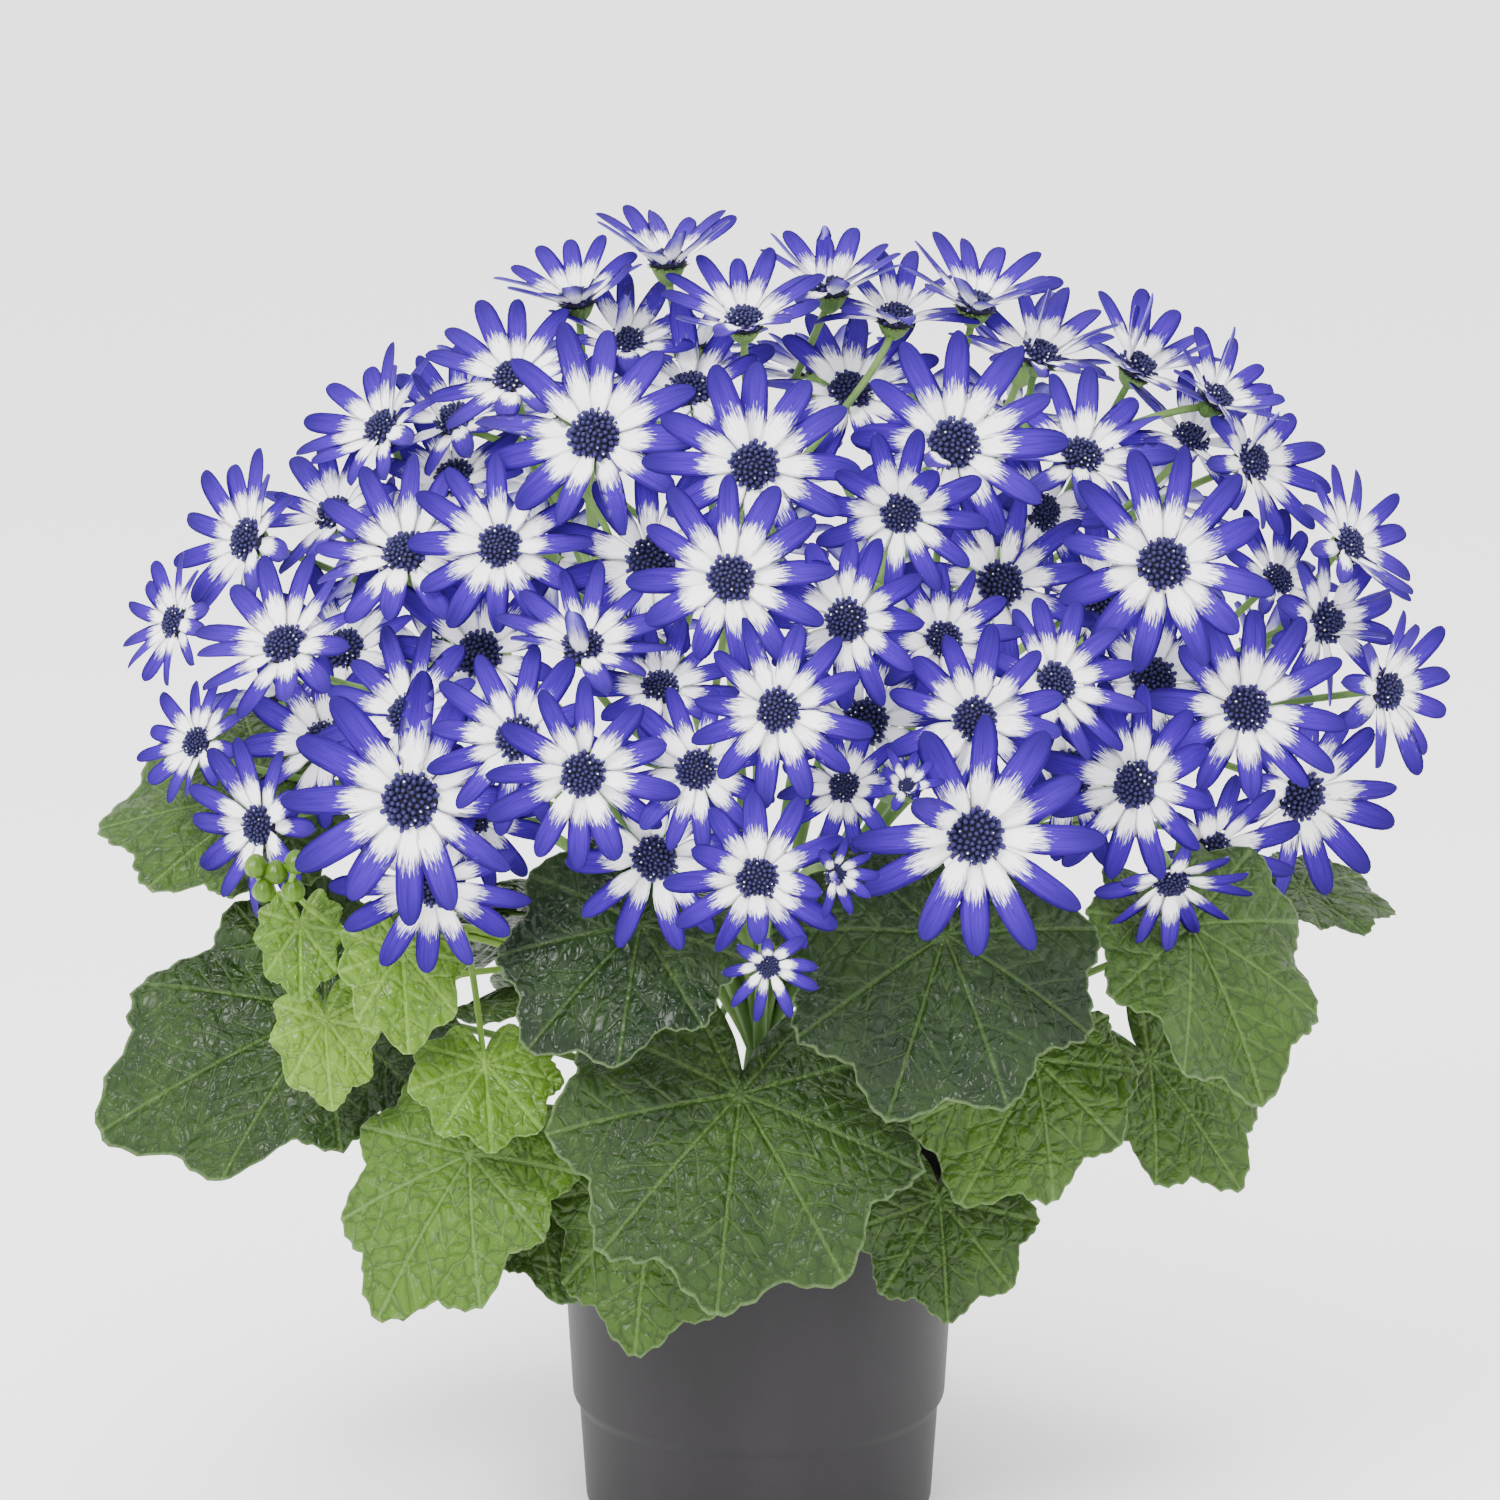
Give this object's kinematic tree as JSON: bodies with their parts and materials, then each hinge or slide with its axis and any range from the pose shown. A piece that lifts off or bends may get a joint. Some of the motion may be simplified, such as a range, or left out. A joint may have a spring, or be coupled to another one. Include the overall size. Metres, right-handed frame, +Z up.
{
  "type": "potted cineraria plant",
  "caption": "Round nursery pot with compost, lobed green leaves and a dense dome of two-tone violet-blue and white daisy blooms on branching stalks.",
  "frame": {"origin": "centre of the flat underside of the pot, on the surface it stands on", "axes": "+Z up along the pot's axis; -Y towards the viewer of the picture, +X to the viewer's right"},
  "size_m": [0.4526, 0.3867, 0.4406],
  "materials": {
    "pot_plastic": "dark charcoal, matte moulded plastic",
    "compost": "moist dark brown compost, crumbly",
    "stem_green": "fresh green fleshy stem, finely hairy",
    "leaf_green": "dark green puckered leaf, satin",
    "young_leaf_green": "bright green young leaf, satin",
    "petals": "violet-blue petals with white feet, velvety"
  },
  "bodies": {
    "root": {"flower_spray_01": "petals", "flower_spray_02": "petals", "flower_spray_03": "petals", "flower_spray_04": "petals", "flower_spray_05": "petals", "flower_spray_06": "petals", "flower_spray_07": "petals", "flower_spray_08": "petals", "flower_spray_09": "petals", "flower_spray_10": "petals", "flower_spray_11": "petals", "flower_spray_12": "petals", "flower_spray_13": "petals", "flower_spray_14": "petals", "flower_spray_15": "petals", "flower_spray_16": "petals", "flower_spray_17": "petals", "flower_spray_18": "petals", "flower_spray_19": "petals", "flower_spray_20": "petals", "flower_spray_21": "petals", "flower_spray_22": "petals", "flower_spray_23": "petals", "flower_spray_24": "petals", "leaf_01": "leaf_green", "leaf_02": "leaf_green", "leaf_03": "leaf_green", "leaf_04": "leaf_green", "leaf_05": "leaf_green", "leaf_06": "leaf_green", "leaf_07": "leaf_green", "leaf_08": "leaf_green", "leaf_09": "leaf_green", "leaf_10": "leaf_green", "leaf_11": "leaf_green", "leaf_12": "leaf_green", "leaf_13": "leaf_green", "leaf_14": "leaf_green", "leaf_15": "leaf_green", "leaf_16": "leaf_green", "leaf_17": "leaf_green", "leaf_18": "leaf_green", "leaf_19": "leaf_green", "leaf_20": "leaf_green", "pot": "pot_plastic", "side_shoot": "young_leaf_green", "soil": "compost", "stems": "stem_green"}
  },
  "joints": []
}
